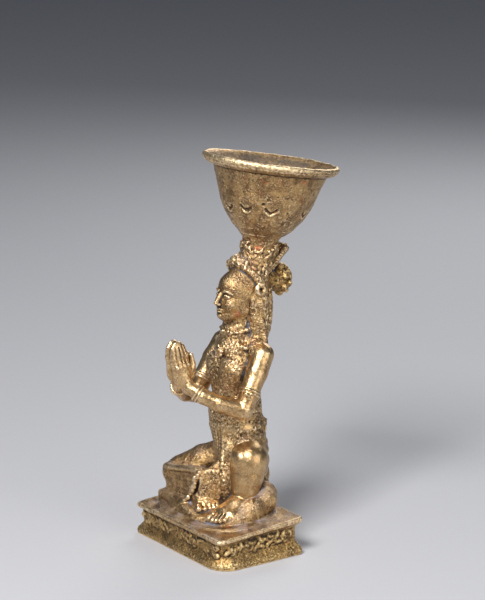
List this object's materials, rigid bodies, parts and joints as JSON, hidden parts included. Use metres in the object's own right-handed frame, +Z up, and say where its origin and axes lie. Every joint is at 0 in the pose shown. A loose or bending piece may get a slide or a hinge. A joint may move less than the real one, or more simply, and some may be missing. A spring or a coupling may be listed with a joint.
{
  "type": "votive figure lamp",
  "caption": "Small cast brass votive lamp: a seated devotee with joined palms carries an open oil bowl on the head, on a waisted rectangular plinth.",
  "frame": {"origin": "centre of the lamp's plan box on the surface it stands on; the plinth lies forward of it, because the bowl leans back", "axes": "+Z up, -Y the way the devotee faces, +X the devotee's left"},
  "size_m": [0.042, 0.053, 0.1102],
  "materials": {
    "aged_brass": "aged, pitted casting with brown patina in the hollows",
    "worn_brass": "rubbed bright by handling",
    "dark_brass": "dark patina, little rubbed"
  },
  "bodies": {
    "root": {"plinth_wall_front": "dark_brass", "plinth_wall_left": "dark_brass", "plinth_wall_back": "dark_brass", "plinth_wall_right": "dark_brass", "plinth_top": "aged_brass", "seat_mat": "aged_brass", "seat_cushion": "aged_brass", "left_foot": "worn_brass", "right_foot": "worn_brass", "left_leg": "worn_brass", "left_anklet": "worn_brass", "right_thigh": "aged_brass", "right_shin": "aged_brass", "hip_wrap": "aged_brass", "torso": "aged_brass", "waist_cord": "worn_brass", "front_sash": "aged_brass", "hem_beading": "worn_brass", "left_upper_arm": "worn_brass", "left_forearm": "worn_brass", "left_hand": "worn_brass", "left_bangle": "worn_brass", "left_armlet": "worn_brass", "right_upper_arm": "worn_brass", "right_forearm": "worn_brass", "right_hand": "worn_brass", "right_bangle": "worn_brass", "right_armlet": "worn_brass", "head": "aged_brass", "necklace": "worn_brass", "pendant": "worn_brass", "left_earring": "worn_brass", "left_side_lock": "aged_brass", "right_earring": "worn_brass", "right_side_lock": "aged_brass", "tiara": "aged_brass", "hair_crown": "aged_brass", "hair_bun": "dark_brass", "lamp_stem": "aged_brass", "back_plume": "aged_brass", "lamp_bowl": "aged_brass"}
  },
  "joints": []
}
